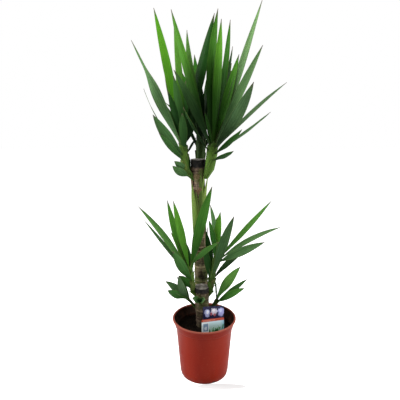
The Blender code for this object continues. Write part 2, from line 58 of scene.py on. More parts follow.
# Crowns, in millimetres and degrees. A leaf is: tip right, back and up from the crest, width, arch, roll,
# twist, sway to the side, tone from 0 for a dark old leaf to 9 for a bright young one, which also holds
# painted light and shade, and grey bloom from 0 to 9, partly a painted sheen. A few leaves also give their
# seat on the
# shoot: -1 is its base, 0 its foot and 1 its crest.
Leaf = namedtuple("Leaf", "right back up width arch roll twist sway tone bloom seat", defaults=(None,))
CROWNS = {
    "crown_left": {
        "base": (-28, 50, 583), "foot": (-54, 40, 620), "crest": (-62, 42, 700),
        "radius": (8, 10, 9), "bare": 0.2,
        "leaves": [
            (-128, -62, 260, 28, -1, -72, 72, 0, 4, 4),
            (-110, 18, 145, 5, -13, 0, 0, 0, 3, 9),
            (-72, -102, 72, 28, -4, -50, 0, 0, 3, 2),
            (-60, -74, 24, 17, 0, -52, 0, 0, 3, 1),
            (-23, -32, -55, 22, 2, -60, 0, 0, 3, 3, -0.5),
            (-28, -32, -68, 24, -4, -60, 0, 0, 4, 3, -0.7),
            (-81, 58, 367, 25, 4, 45, 0, 0, 8, 0),
            (-23, 28, 312, 20, 8, 30, 0, 0, 9, 2),
            (-18, 68, 221, 22, 4, 0, 0, 0, 1, 0),
            (-20, -62, 172, 24, 7, -10, 0, 0, 4, 1),
            (92, 118, 368, 31, 2, -60, 0, 0, 2, 0),
            (-38, -42, 136, 22, 4, -30, 0, 0, 1, 0),
            (-58, 112, 195, 26, 8, 0, 0, 0, 4, 0),
            (5, 125, 175, 26, 10, 0, 0, 0, 3, 0),
            (-72, 96, 118, 24, 12, 0, 0, 0, 2, 0),
            (38, -8, 78, 28, 5, 78, 0, 0, 1, 0),
            (38, 2, 9, 8, 0, 60, 0, 0, 0, 0, 0.45),
            (10, 0, -26, 16, 0, -77, 0, 0, 0, 0, -0.5),
            (-66, 76, 255, 24, 8, 0, 0, 0, 2, 0),
            (2, -72, 76, 24, 5, 0, 0, 0, 3, 1),
        ],
    },
    "crown_right": {
        "base": (2, 50, 590), "foot": (14, 38, 618), "crest": (24, 38, 690),
        "radius": (9, 14, 11), "bare": 0.45,
        "leaves": [
            (10, -28, 353, 27, 2, 0, 0, -12, 6, 0),
            (18, -50, 323, 25, 4, 0, 0, 2, 9, 0),
            (46, 22, 337, 24, -6, -20, 0, 0, 5, 0),
            (56, 52, 273, 15, -4, -15, 0, 0, 1, 0),
            (69, -8, 243, 26, 0, -75, 0, 0, 7, 1),
            (126, -18, 376, 20, -2, -85, 20, 0, 7, 8),
            (128, -38, 261, 24, 1, 60, 0, 0, 5, 5),
            (99, -98, 163, 32, -9, 50, 0, 0, 2, 3),
            (203, 2, 170, 11, 8, -80, 0, 0, 3, 7),
            (160, -8, 90, 13, -4, 38, 0, 0, 2, 3),
            (75, -68, 44, 18, -4, 35, 0, 0, 3, 0),
            (51, -98, -11, 17, -3, 30, 0, 0, 1, 0),
            (-106, -48, 198, 26, 6, -50, 0, 0, 4, 2),
            (-79, -112, 100, 10, 2, 0, 0, -9, 1, 0),
            (-6, 60, 238, 24, 4, 0, 0, 0, 1, 0),
            (52, 36, 205, 24, 4, 0, 0, 0, 1, 0),
            (105, 70, 195, 26, 10, 30, 0, 0, 3, 0),
            (85, 105, 110, 26, 12, 20, 0, 0, 3, 0),
            (-24, -34, 90, 12, 3, 0, 0, 0, 6, 0),
            (58, 110, 235, 26, 8, 0, 0, 0, 4, 0),
            (-113, -16, 354, 26, -5, -50, 0, 0, 7, 0),
            (-72, 0, 306, 22, -15, -80, 0, 0, 9, 3),
        ],
    },
    "crown_back": {
        "base": (-16, 66, 562), "foot": (-13, 80, 600), "crest": (-10, 88, 715),
        "radius": (8, 13, 12), "bare": 0.35,
        "leaves": [
            (48, 62, 262, 28, 6, 0, 0, 0, 3, 0),
            (-60, 104, 190, 26, 10, 0, 0, 0, 4, 0),
            (60, 118, 170, 28, 12, 0, 0, 0, 4, 0),
            (2, 150, 120, 26, 14, 0, 0, 0, 3, 0),
            (-110, 80, 95, 24, 14, 0, 0, 0, 2, 0),
            (104, 84, 70, 24, 14, 0, 0, 0, 2, 0),
            (-6, 16, 165, 28, 2, 0, 0, 0, 1, 0),
            (26, 20, 150, 28, 2, 0, 0, 0, 1, 0),
            (-2, -30, 88, 26, 4, 0, 0, 0, 1, 0),
            (10, -34, 56, 26, 4, 0, 0, 0, 0, 0),
            (-20, 96, 240, 26, 8, 0, 0, 0, 4, 0),
        ],
    },
    "crown_low_left": {
        "base": (-18, 7, 236), "foot": (-33, 6, 258), "crest": (-43, 0, 330),
        "radius": (7, 9, 8), "bare": 0.12,
        "leaves": [
            (-140, -32, 194, 18, 10, 85, 0, 0, 6, 3),
            (-131, 8, 145, 11, 2, 60, 0, 0, 3, 3),
            (-65, 28, 200, 21, -5, 60, 0, 0, 6, 1),
            (-44, -22, 208, 22, 1, -60, 0, 0, 8, 0),
            (-41, -112, 92, 27, 0, -48, 0, 0, 3, 1),
            (63, -42, 252, 32, 6, 40, 0, 0, 5, 0),
            (82, -72, 104, 20, 5, 40, 0, 0, 5, 1, 1.1),
            (-31, -30, -9, 24, 4, -60, 0, 0, 3, 0),
            (-10, -10, 82, 20, 4, 0, 0, 0, 1, 0),
            (-60, 84, 86, 24, 12, 0, 0, 0, 6, 0),
            (-22, 84, 66, 22, 12, 0, 0, 0, 2, 0),
            (-62, 46, 150, 22, 6, 0, 0, 0, 3, 0),
        ],
    },
    "crown_low_right": {
        "base": (6, 11, 234), "foot": (17, 12, 255), "crest": (33, 1, 362),
        "radius": (7, 9, 7), "bare": 0.8,
        "leaves": [
            (-17, -3, 160, 24, 6, -30, 0, 0, 4, 3),
            (11, -23, 145, 21, 4, 20, 0, 0, 8, 0),
            (46, -63, 142, 28, 4, 35, 0, 0, 2, 2, 0.35),
            (160, 17, 168, 16, 0, -70, 0, 0, 7, 2),
            (184, -13, 98, 15, 13, -70, 0, 0, 5, 5),
            (133, -53, 66, 24, 2, -75, 0, 0, 3, 3),
            (18, -25, -65, 5, 6, 0, 0, 0, 0, 0, -0.1),
            (-21, -31, 123, 20, 6, 0, 0, 0, 4, 0),
            (-29, 9, 81, 22, 3, 70, 0, 0, 1, 0, 0.35),
            (45, 87, 53, 26, 12, 0, 0, 0, 3, 0),
            (40, 115, 47, 24, 12, 0, 0, 0, 3, 0),
            (91, 19, 21, 17, 8, -68, 0, 0, 1, 2, 0.33),
            (-35, -11, 43, 20, 3, -60, 0, 0, 1, 0, 0.25),
            (5, 43, 113, 24, 6, 0, 0, 0, 2, 0),
        ],
    },
    "shoot_foot_left": {
        "base": (-14, 9, 190), "foot": (-28, 12, 205), "crest": (-50, 6, 236),
        "radius": (4, 5, 4), "bare": 0.6,
        "leaves": [
            (-62, -36, 68, 24, 2, 70, 0, 0, 2, 3),
            (-56, -42, 43, 27, -1, -66, 0, 0, 4, 1),
            (-23, -42, 88, 22, -8, -46, 0, 0, 1, 4),
            (-34, 40, 50, 18, 6, 0, 0, 0, 2, 0),
        ],
    },
    "shoot_foot_right": {
        "base": (8, 13, 178), "foot": (24, 20, 196), "crest": (38, 18, 222),
        "radius": (4, 6, 5), "bare": 0.4,
        "leaves": [
            (66, -30, 119, 28, 5, 70, 0, 0, 7, 2),
            (88, -20, 77, 16, 0, -77, 0, 0, 4, 2),
            (78, -50, 62, 20, 3, -84, 0, 0, 5, 1),
            (-8, 6, 70, 8, 3, 0, 0, 0, 2, 0),
            (50, 50, 62, 18, 6, 0, 0, 0, 3, 0),
        ],
    },
    "bud_front": {
        "base": (-7, -6, 222), "foot": (-11, -14, 227), "crest": (-13, -20, 234),
        "radius": (4, 5, 4), "bare": 0.2,
        "leaves": [
            (-22, -10, 18, 20, 3, 68, 0, 0, 2, 2),
            (16, -14, 16, 18, 3, -68, 0, 0, 3, 4),
            (1, -13, 20, 18, 3, 0, 0, 0, 1, 0),
        ],
    },
}
STEM_TONE = {"crown_left": 0.42, "crown_right": 0.66, "crown_back": 0.12, "crown_low_left": 0.34,
             "crown_low_right": 0.26, "shoot_foot_left": 0.15, "shoot_foot_right": 0.25, "bud_front": 0.2}

# The shoot whose tube is cut finer, round as well as along
FINEST_SHOOT = "crown_left"

# Leaves: the highest tone, the channel's depth as a share of half the width, half the tip's width, thickness
TONES, CHANNEL, TIP_HALF, BLADE_THICK = 9.0, 0.22, 0.0006, 0.0008

# Clasping leaf feet: thickness, height in shoot radii, and degrees to each side at the foot and at the tip
SHEATH_THICK, SHEATH_TALL, SHEATH_WRAP, SHEATH_TIP_WRAP = 0.0009, 2.8, 105, 43

# Drain notches in the foot ring: count, angle of the first, radius, and depth through the ring
NOTCHES, NOTCH_FIRST, NOTCH_R, NOTCH_DEEP = 4, -67.0, 0.0058, 0.012

# Crumbs on the peat, the height where the bark begins inside it, and how far it ends under the cane's top
CRUMBS, BARK_LOW_Z, BARK_UNDER_WAX = 330, 0.120, 0.0005

# Where the cards' prints lie: foot, turn in degrees, then width, a depth left as it is, and height
FRONT_CARD = ((0.024, -0.060, 0.1535), 14.0, (0.066, 1.0, 0.0495))
BACK_CARD = ((0.026, -0.043, 0.1535), 8.0, (0.061, 1.0, 0.0795))

# Camera: level with the lower leaves of the top crowns, looking down a little, as in the photograph
EYE, LOOKS_DOWN = (-0.0128, -1.11, 0.762), 11.5
bpy.ops.object.camera_add(location=EYE, rotation=(math.radians(90.0 - LOOKS_DOWN), 0.0, 0.0))
camera = bpy.context.object
camera.data.lens = 36.0
camera.data.sensor_width = 36.0
bpy.context.scene.camera = camera
bpy.context.scene.view_settings.view_transform = "Standard"


# Shader helpers

def new_material(name, rough, specular):
    mat = bpy.data.materials.new(name)
    mat.use_nodes = True
    tree = mat.node_tree
    shader = tree.nodes["Principled BSDF"]
    shader.inputs["Roughness"].default_value = rough
    shader.inputs["Specular IOR Level"].default_value = specular
    return mat, tree, shader


def add(tree, kind, **values):
    node = tree.nodes.new(kind)
    for key, value in values.items():
        setattr(node, key, value)
    return node


def feed(tree, socket, value):
    """Give a socket a value, a colour or another node's output."""
    if isinstance(value, bpy.types.NodeSocket):
        tree.links.new(value, socket)
    elif socket.type == "RGBA":
        socket.default_value = (*value, 1.0)
    else:
        socket.default_value = value


def ramp(tree, value, stops):
    """Colours or greys along a value. Each stop is (place, colour)."""
    node = add(tree, "ShaderNodeValToRGB")
    steps = node.color_ramp.elements
    while len(steps) < len(stops):
        steps.new(0.5)
    for step, (place, colour) in zip(steps, stops):
        step.position = place
        step.color = (*colour, 1.0) if isinstance(colour, tuple) else (colour, colour, colour, 1.0)
    tree.links.new(value, node.inputs["Fac"])
    return node.outputs["Color"]


def mix(tree, share, a, b, kind="MIX"):
    """Mix two colours."""
    node = add(tree, "ShaderNodeMix", data_type="RGBA", blend_type=kind)
    feed(tree, node.inputs[0], share)
    feed(tree, node.inputs[6], a)
    feed(tree, node.inputs[7], b)
    return node.outputs[2]


def over(tree, body, value, stops, colour):
    """Lay a colour over the body, as much as the stops say along a value."""
    return mix(tree, ramp(tree, value, stops), body, colour)


def times(tree, body, share, factor):
    """Darken or lighten the body by a factor, by a share."""
    return mix(tree, share, body, mix(tree, 1.0, body, factor, "MULTIPLY"))


def tint(tree, body, value, stops, factor):
    """Darken or lighten the body by a factor, as much as the stops say along a value."""
    return times(tree, body, ramp(tree, value, stops), factor)


def maths(tree, operation, a, b=0.0):
    node = add(tree, "ShaderNodeMath", operation=operation)
    feed(tree, node.inputs[0], a)
    feed(tree, node.inputs[1], b)
    return node.outputs[0]


def swing(tree, value, width):
    """A value about one half, made to swing about zero."""
    return maths(tree, "MULTIPLY", maths(tree, "SUBTRACT", value, 0.5), width)


def off_middle(tree, across):
    """How far a point lies from the middle of a blade, 0 to 0.5."""
    return maths(tree, "ABSOLUTE", maths(tree, "SUBTRACT", across, 0.5))


def object_place(tree):
    return add(tree, "ShaderNodeTexCoord").outputs["Object"]


def given(tree, name):
    """A value that each point of the mesh carries."""
    return add(tree, "ShaderNodeAttribute", attribute_name=name).outputs["Fac"]


def split(tree, vector):
    node = add(tree, "ShaderNodeSeparateXYZ")
    tree.links.new(vector, node.inputs[0])
    return node.outputs


def bump(tree, shader, height, strength, distance):
    node = add(tree, "ShaderNodeBump")
    node.inputs["Strength"].default_value = strength
    node.inputs["Distance"].default_value = distance
    tree.links.new(height, node.inputs["Height"])
    tree.links.new(node.outputs["Normal"], shader.inputs["Normal"])


def new_group(name, inputs, outputs):
    """An empty node group. Inputs and outputs are name: kind, and every input is fed where it is used."""
    tree = bpy.data.node_groups.new(name, "ShaderNodeTree")
    for sockets, way in ((inputs, "INPUT"), (outputs, "OUTPUT")):
        for label, kind in sockets.items():
            tree.interface.new_socket(label, in_out=way, socket_type="NodeSocket" + kind)
    return tree, add(tree, "NodeGroupInput").outputs, add(tree, "NodeGroupOutput").inputs


def use_group(tree, group, **values):
    node = add(tree, "ShaderNodeGroup", node_tree=group)
    for label, value in values.items():
        feed(tree, node.inputs[label], value)
    return node.outputs


def grain_group():
    """Noise drawn out along some axes: fibres, flow marks, stains."""
    tree, ins, outs = new_group("grain", {
        "Place": "Vector", "Stretch": "Vector", "Scale": "Float", "Detail": "Float", "Rough": "Float",
    }, {"Value": "Float"})
    mapping = add(tree, "ShaderNodeMapping")
    noise_node = add(tree, "ShaderNodeTexNoise")
    tree.links.new(ins["Place"], mapping.inputs["Vector"])
    tree.links.new(ins["Stretch"], mapping.inputs["Scale"])
    tree.links.new(mapping.outputs["Vector"], noise_node.inputs["Vector"])
    for label, socket in (("Scale", "Scale"), ("Detail", "Detail"), ("Rough", "Roughness")):
        tree.links.new(ins[label], noise_node.inputs[socket])
    tree.links.new(noise_node.outputs["Fac"], outs["Value"])
    return tree


grain = grain_group()


def texture(tree, place, scale, detail, rough, stretch=(1, 1, 1)):
    return use_group(
        tree, grain, Place=place, Stretch=stretch, Scale=scale, Detail=detail, Rough=rough)["Value"]


# Painted shade in the heart of the top crowns, where little light comes in: its middle, and its reach along
# each axis
SHADE_HEART, SHADE_HEART_SIZE = (0.007, 0.045, 0.785), (0.100, 0.12, 0.185)


def heart_shade_group():
    """Painted shade mask: 1 in the crowded heart of the top crowns, 0 outside."""
    tree, ins, outs = new_group("painted_heart_shade", {"Place": "Vector"}, {"Share": "Float"})
    mapping = add(tree, "ShaderNodeMapping", vector_type="TEXTURE")
    mapping.inputs["Location"].default_value = SHADE_HEART
    mapping.inputs["Scale"].default_value = SHADE_HEART_SIZE
    far = add(tree, "ShaderNodeVectorMath", operation="LENGTH")
    tree.links.new(ins["Place"], mapping.inputs["Vector"])
    tree.links.new(mapping.outputs["Vector"], far.inputs[0])
    share = ramp(tree, far.outputs["Value"], [(0.35, 0.95), (0.70, 0.62), (1.0, 0.0)])
    tree.links.new(share, outs["Share"])
    return tree


painted_heart_shade = heart_shade_group()


def with_painted_shade(tree, place, body):
    """Painted shade: the colour darkened as seen deep among the leaves of the top crowns."""
    return times(tree, body, use_group(tree, painted_heart_shade, Place=place)["Share"], (0.09, 0.145, 0.075))


LEAF_COLOURS = ("Dark", "Mid", "Bright", "Bloom_sheen_colour", "Tip")


def leaf_skin_group():
    """A leaf's skin: tone and painted light, grey bloom and painted sheen, long veins, pale midrib, painted
    shade towards the yellow-green foot, thin margin, dry tip and painted shade in the heart.
    """
    tree, ins, outs = new_group("leaf_skin", {
        "Blade": "Vector", "Place": "Vector", "Tone": "Float", "Bloom": "Float", "Gloss": "Float",
        **dict.fromkeys(LEAF_COLOURS, "Color"),
    }, {"Colour": "Color", "Roughness": "Float", "Height": "Float"})
    across, along, _ = split(tree, ins["Blade"])
    # tone per leaf: its own colour, with painted light and shade
    low = mix(tree, ramp(tree, ins["Tone"], [(0.0, 0.0), (0.45, 1.0)]), ins["Dark"], ins["Mid"])
    body = mix(tree, ramp(tree, ins["Tone"], [(0.45, 0.0), (1.0, 1.0)]), low, ins["Bright"])
    # grey waxy bloom, partly a painted sheen
    body = mix(tree, maths(tree, "MULTIPLY", ins["Bloom"], 0.70), body, ins["Bloom_sheen_colour"])
    veins = texture(tree, ins["Blade"], 1.0, 3.0, 0.5, (64, 1.4, 1))
    body = tint(tree, body, veins, [(0.36, 0.0), (0.64, 0.7)], (0.55, 0.68, 0.50))
    streaks = texture(tree, ins["Blade"], 1.0, 2.0, 0.5, (9, 0.7, 1))
    body = tint(tree, body, streaks, [(0.40, 0.0), (0.66, 0.7)], (1.55, 1.40, 1.45))
    body = tint(tree, body, streaks, [(0.34, 0.55), (0.50, 0.0)], (0.50, 0.62, 0.50))
    blotch = texture(tree, ins["Place"], 36.0, 5.0, 0.6)
    body = tint(tree, body, blotch, [(0.38, 0.0), (0.72, 0.45)], (1.35, 1.22, 1.05))
    # painted shade: each blade darker towards its foot
    body = tint(tree, body, along, [(0.06, 0.65), (0.40, 0.20), (0.62, 0.0)], (0.26, 0.38, 0.30))
    body = over(tree, body, along, [(0.0, 0.8), (0.05, 0.4), (0.14, 0.0)], (0.075, 0.13, 0.018))
    middle = off_middle(tree, across)
    body = tint(tree, body, middle, [(0.0, 0.35), (0.04, 0.0)], (1.45, 1.35, 1.2))
    body = over(tree, body, middle, [(0.465, 0.0), (0.5, 0.45)], (0.17, 0.17, 0.05))
    ragged = maths(tree, "ADD", along, swing(tree, blotch, 0.05))
    body = over(tree, body, ragged, [(0.89, 0.0), (0.945, 0.55), (0.985, 1.0)], ins["Tip"])
    # painted shade in the heart of the top crowns
    body = with_painted_shade(tree, ins["Place"], body)
    tree.links.new(body, outs["Colour"])
    duller = ramp(tree, blotch, [(0.3, 0.0), (0.7, 0.14)])
    tree.links.new(maths(tree, "ADD", ins["Gloss"], duller), outs["Roughness"])
    tree.links.new(veins, outs["Height"])
    return tree


leaf_skin = leaf_skin_group()


def leaf_material(name, gloss, *colours):
    """colours: dark, mid and bright leaf, waxy bloom with painted sheen, dry tip."""
    mat, tree, shader = new_material(name, gloss, 0.06)
    skin = use_group(
        tree, leaf_skin, Blade=add(tree, "ShaderNodeUVMap").outputs["UV"], Place=object_place(tree),
        Tone=given(tree, "tone"), Bloom=given(tree, "bloom"), Gloss=gloss, **dict(zip(LEAF_COLOURS, colours)))
    tree.links.new(skin["Colour"], shader.inputs["Base Color"])
    tree.links.new(skin["Roughness"], shader.inputs["Roughness"])
    bump(tree, shader, skin["Height"], 0.35, 0.0006)
    return mat


leaf_top = leaf_material(
    "leaf_top", 0.36, (0.0055, 0.030, 0.0045), (0.020, 0.105, 0.009), (0.105, 0.345, 0.020),
    (0.200, 0.310, 0.175), (0.10, 0.075, 0.055))
leaf_under = leaf_material(
    "leaf_under", 0.44, (0.010, 0.042, 0.009), (0.032, 0.125, 0.018), (0.105, 0.310, 0.028),
    (0.210, 0.320, 0.190), (0.11, 0.085, 0.06))
leaf_edge = leaf_material(
    "leaf_edge", 0.5, (0.012, 0.040, 0.005), (0.04, 0.12, 0.01), (0.12, 0.26, 0.02),
    (0.17, 0.25, 0.13), (0.09, 0.065, 0.04))


def sheath_material():
    """Clasping feet of leaves, darkened by painted shade in the heart of the top crowns. Tone 0 is dark
    green, 1 a pale yellow green, and bloom is how dry they are.
    """
    mat, tree, shader = new_material("sheath", 0.5, 0.08)
    uv = add(tree, "ShaderNodeUVMap").outputs["UV"]
    place = object_place(tree)
    fibre = texture(tree, uv, 1.0, 3.0, 0.5, (60, 2, 1))
    dark = ramp(tree, fibre, [(0.3, (0.004, 0.012, 0.003)), (0.7, (0.018, 0.050, 0.008))])
    pale = ramp(tree, fibre, [(0.3, (0.055, 0.155, 0.012)), (0.5, (0.135, 0.285, 0.030)),
                              (0.75, (0.35, 0.47, 0.14))])
    straw = ramp(tree, fibre, [(0.3, (0.030, 0.016, 0.008)), (0.5, (0.12, 0.070, 0.034)),
                               (0.7, (0.34, 0.25, 0.15))])
    body = mix(tree, given(tree, "tone"), dark, pale)
    body = mix(tree, given(tree, "bloom"), body, straw)
    rim = off_middle(tree, split(tree, uv)[0])
    body = over(tree, body, rim, [(0.42, 0.0), (0.49, 0.5)], (0.075, 0.05, 0.022))
    stain = texture(tree, place, 90.0, 6.0, 0.65)
    body = over(tree, body, stain, [(0.58, 0.0), (0.74, 0.5)], (0.05, 0.028, 0.012))
    # painted shade in the heart of the top crowns
    tree.links.new(with_painted_shade(tree, place, body), shader.inputs["Base Color"])
    bump(tree, shader, fibre, 0.5, 0.0008)
    return mat


sheath = sheath_material()


def smooth(a, b, t):
    """0 before a, 1 after b, and a soft rise between."""
    k = max(0.0, min(1.0, (t - a) / (b - a)))
    return k * k * (3 - 2 * k)


def around(r, angle, z=0.0, x=0.0, y=0.0):
    """A point at a radius and an angle about an upright line."""
    return Vector((x + r * math.cos(angle), y + r * math.sin(angle), z))


def width_share(t):
    """Blade width along its length: narrow over the sheath, widest past the middle, then a long point."""
    if t < 0.55:
        return 0.40 + 0.60 * math.sin(0.5 * math.pi * t / 0.55) ** 2
    s = (t - 0.55) / 0.45
    return max(0.0, 1.0 - s ** 1.7) ** 0.9


def leaf_frame(crown, row):
    """A leaf's root, middle and tip, the level ways across and out at its root, and its seat."""
    foot = Vector(crown["foot"])
    crest = Vector(crown["crest"])
    tip = crest + Vector((row.right, row.back, row.up))
    chord = tip - crest
    lean = math.degrees(math.atan2(math.hypot(chord.x, chord.y), chord.z))
    seat = row.seat
    if seat is None:
        seat = crown["bare"] + (1.0 - crown["bare"]) * min(1.0, max(-0.45, 1.0 - lean / 80.0))
    root = foot.lerp(crest, seat) if seat > 0 else foot.lerp(Vector(crown["base"]), -seat)
    out = Vector((tip.x - root.x, tip.y - root.y, 0.0)).normalized()
    root = root + out * crown["radius"][2] * 0.35
    along = (tip - root).normalized()
    rise = Vector((-out.x * along.z, -out.y * along.z, along.dot(out)))
    across = Vector((-out.y, out.x, 0.0))
    middle = (root + tip) / 2 + rise * row.arch * 2 + across * row.sway * 2
    return root * MM, middle * MM, tip * MM, across, out, seat


def leaf_point(arch, row, t, s, wave):
    """A point of the blade. t runs from root to tip, s from edge to edge, -1 to 1."""
    root, middle, tip, across = arch[:4]
    p = root * (1 - t) ** 2 + middle * 2 * t * (1 - t) + tip * t * t
    along = ((middle - root) * (1 - t) + (tip - middle) * t).normalized()
    level = (across - along * across.dot(along)).normalized()
    under = level.cross(along)
    turn = math.radians(row.roll * smooth(0.0, 0.45, t) + row.twist * smooth(0.4, 0.8, t))
    side = level * math.cos(turn) + under * math.sin(turn)
    below = side.cross(along).normalized()
    half = max(TIP_HALF, width_share(t) * row.width * MM / 2)
    lift = CHANNEL * abs(s) ** 1.2 * half
    ripple = math.sin(wave + t * 17.0 + (0.0 if s < 0 else 2.0)) * 0.0005 * abs(s) ** 2
    ripple *= smooth(0.0, 0.2, t) * smooth(1.0, 0.85, t)
    return p + side * s * half - below * (lift + ripple)


def plain_blade(across, along):
    """One flat blade, edge to edge in X and foot to tip in Y, with its own UV map, to be copied and bent."""
    bpy.ops.mesh.primitive_grid_add(x_subdivisions=across, y_subdivisions=along, size=2.0, calc_uvs=True)
    blade = bpy.context.object
    blade.name = "plain_blade"
    return blade


def give_values(mesh, name, values):
    """Store a value at each point, for the material to read."""
    mesh.attributes.new(name, "FLOAT", "POINT").data.foreach_set("value", values)


def give_value(mesh, name, value):
    """Store one value at all points, kept between 0 and 1."""
    give_values(mesh, name, [max(0.0, min(1.0, value))] * len(mesh.vertices))


def finish_piece(ob, node, angle):
    """Smooth shading below an angle, rides on the plant, stands for its CAD node."""
    bpy.ops.object.select_all(action="DESELECT")
    ob.select_set(True)
    bpy.context.view_layer.objects.active = ob
    bpy.ops.object.shade_smooth_by_angle(angle=math.radians(angle))
    ob.select_set(False)
    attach(ob, "root")
    if node:
        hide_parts(node)


def apply(ob, mod):
    bpy.context.view_layer.objects.active = ob
    bpy.ops.object.modifier_apply(modifier=mod.name)


def thickened(name, mesh, thickness):
    """A bent sheet made an object and given its thickness. Three materials are under, top and edge."""
    ob = bpy.data.objects.new(name, mesh)
    bpy.context.scene.collection.objects.link(ob)
    thick = ob.modifiers.new("Thickness", "SOLIDIFY")
    thick.thickness = thickness
    thick.offset = 0.0
    if len(mesh.materials) > 1:
        thick.material_offset = 1
        thick.material_offset_rim = 2
    apply(ob, thick)
    return ob


def cut_finer(ob, cuts, all_over=False):
    """Cut a new standing cylinder across, all along its length, or all over with its ends."""
    bpy.ops.object.mode_set(mode="EDIT")
    bpy.ops.mesh.select_mode(type="EDGE")
    bpy.ops.mesh.select_all(action="DESELECT")
    bpy.ops.object.mode_set(mode="OBJECT")
    for edge in ob.data.edges:
        a, b = (ob.data.vertices[k].co for k in edge.vertices)
        edge.select = all_over or abs(a.z - b.z) > 0.5
    bpy.ops.object.mode_set(mode="EDIT")
    bpy.ops.mesh.subdivide(number_cuts=cuts)
    bpy.ops.object.mode_set(mode="OBJECT")


def join(name, pieces):
    bpy.ops.object.select_all(action="DESELECT")
    for ob in pieces:
        ob.select_set(True)
    bpy.context.view_layer.objects.active = pieces[0]
    bpy.ops.object.join()
    ob = bpy.context.object
    ob.name = name
    ob.select_set(False)
    return ob


blade = plain_blade(6, 30)
sheath_blade = plain_blade(8, 8)
draw = random.Random(7)


def make_leaf(crown, row):
    """A copy of the plain blade, bent to its own arch and given its thickness."""
    mesh = blade.data.copy()
    arch = leaf_frame(crown, row)
    wave = draw.uniform(0.0, 6.0)
    for v in mesh.vertices:
        t = (v.co.y + 1.0) / 2.0
        t = 1.0 - (1.0 - t) ** 1.15
        v.co = leaf_point(arch, row, t, v.co.x, wave)
    # tone per leaf: its own colour, with painted light and shade
    give_value(mesh, "tone", row.tone / TONES + draw.uniform(-0.05, 0.05))
    # grey bloom per leaf, partly a painted sheen
    give_value(mesh, "bloom", row.bloom / TONES)
    for mat in (leaf_under, leaf_top, leaf_edge):
        mesh.materials.append(mat)
    return thickened("leaf", mesh, BLADE_THICK)


def shoot_line(crown):
    """Centre line and radius of a shoot, as (place, radius) in metres, from its base to its blunt top."""
    base, foot, crest = (Vector(crown[key]) * MM for key in ("base", "foot", "crest"))
    r_base, r_foot, r_crest = (r * MM for r in crown["radius"])
    top = crest + (crest - foot).normalized() * r_crest
    return [(base, r_base), (foot, r_foot), (foot.lerp(crest, 0.5), (r_foot + r_crest) / 2 * 1.06),
            (crest, r_crest), (top, r_crest * 0.45)]


def stretches(line):
    return [(b[0] - a[0]).length for a, b in zip(line, line[1:])]


def on_line(line, share):
    """Place and radius at a share of the way along a line of (place, radius)."""
    lengths = stretches(line)
    want = share * sum(lengths)
    for (a, b), length in zip(zip(line, line[1:]), lengths):
        if want <= length or b is line[-1]:
            k = min(1.0, want / length)
            return a[0].lerp(b[0], k), a[1] + (b[1] - a[1]) * k
        want -= length


def make_shoot(name, crown):
    """The shoot's own tube, lightly fluted."""
    line = shoot_line(crown)
    bpy.ops.mesh.primitive_cylinder_add(vertices=20, radius=1.0, depth=1.0, end_fill_type="NGON")
    ob = bpy.context.object
    cut_finer(ob, 17, all_over=name == FINEST_SHOOT)
    for v in ob.data.vertices:
        share = v.co.z + 0.5
        place, radius = on_line(line, share)
        angle = math.atan2(v.co.y, v.co.x)
        flute = 1.0 + 0.05 * math.sin(5 * angle + share * 9) + 0.03 * math.sin(9 * angle - share * 7)
        r = math.hypot(v.co.x, v.co.y) * radius * flute
        v.co = place + around(r, angle)
    ob.data.materials.append(sheath)
    give_value(ob.data, "tone", STEM_TONE[name] * 0.7)
    give_value(ob.data, "bloom", 0.0)
    ob.name = name + "_shoot"
    return ob


def make_sheath(name, crown, row, turn):
    """The foot of a leaf, clasping the shoot below it. Its tip stands off and its rims lie close."""
    *_, across, out, seat = leaf_frame(crown, row)
    line = shoot_line(crown)
    lengths = stretches(line)
    height = lengths[0] * (1 + min(0.0, seat)) + (lengths[1] + lengths[2]) * max(0.0, seat)
    tall = min(crown["radius"][1] * MM * SHEATH_TALL, height - 0.2 * lengths[0])
    mesh = sheath_blade.data.copy()
    for v in mesh.vertices:
        s, t = v.co.x, (v.co.y + 1.0) / 2.0
        angle = s * math.radians(SHEATH_WRAP - (SHEATH_WRAP - SHEATH_TIP_WRAP) * t) + turn
        centre, radius = on_line(line, (height - tall * (1.0 - t) + 0.006 * t) / sum(lengths))
        stands_off, lies_close = 0.0035 * t * t, 0.0014 * abs(s) ** 3
        reach = radius * (0.98 + 0.10 * t) + stands_off - lies_close
        v.co = centre + (out * math.cos(angle) + across * math.sin(angle)) * reach
    mesh.materials.append(sheath)
    give_value(mesh, "tone", STEM_TONE[name] * draw.uniform(0.5, 1.5))
    give_value(mesh, "bloom", 0.30 if draw.random() < 0.15 and name != "crown_right" else 0.0)
    return thickened("sheath", mesh, SHEATH_THICK)


for name, crown in CROWNS.items():
    rows = [Leaf(*row) for row in crown["leaves"]]
    leaves = [make_leaf(crown, row) for row in rows]
    finish_piece(join(name + "_leaves", leaves), name, 50)
    stem = [make_shoot(name, crown)]
    if name != "bud_front":
        stem += [make_sheath(name, crown, row, draw.uniform(-0.15, 0.15)) for row in rows]
    finish_piece(join(name + "_stem", stem), name, 50)


# Pot

def turned(name, start, rings, sides):
    """A round body: a circle extruded and scaled through rings of (radius, height), closed at both ends."""
    radius, height = start
    bpy.ops.mesh.primitive_circle_add(
        vertices=sides, radius=radius, fill_type="NGON", location=(0, 0, height))
    ob = bpy.context.object
    ob.name = name
    bpy.ops.object.transform_apply(location=True)
    bpy.ops.object.mode_set(mode="EDIT")
    bpy.ops.mesh.select_mode(type="EDGE")
    bpy.ops.mesh.select_all(action="SELECT")
    for r, z in rings:
        bpy.ops.mesh.extrude_edges_move(TRANSFORM_OT_translate={"value": (0.0, 0.0, z - height)})
        share = r / radius
        bpy.ops.transform.resize(value=(share, share, 1.0), center_override=(0.0, 0.0, 0.0))
        radius, height = r, z
    bpy.ops.mesh.edge_face_add()
    bpy.ops.mesh.select_all(action="SELECT")
    bpy.ops.mesh.normals_make_consistent(inside=False)
    bpy.ops.object.mode_set(mode="OBJECT")
    return ob


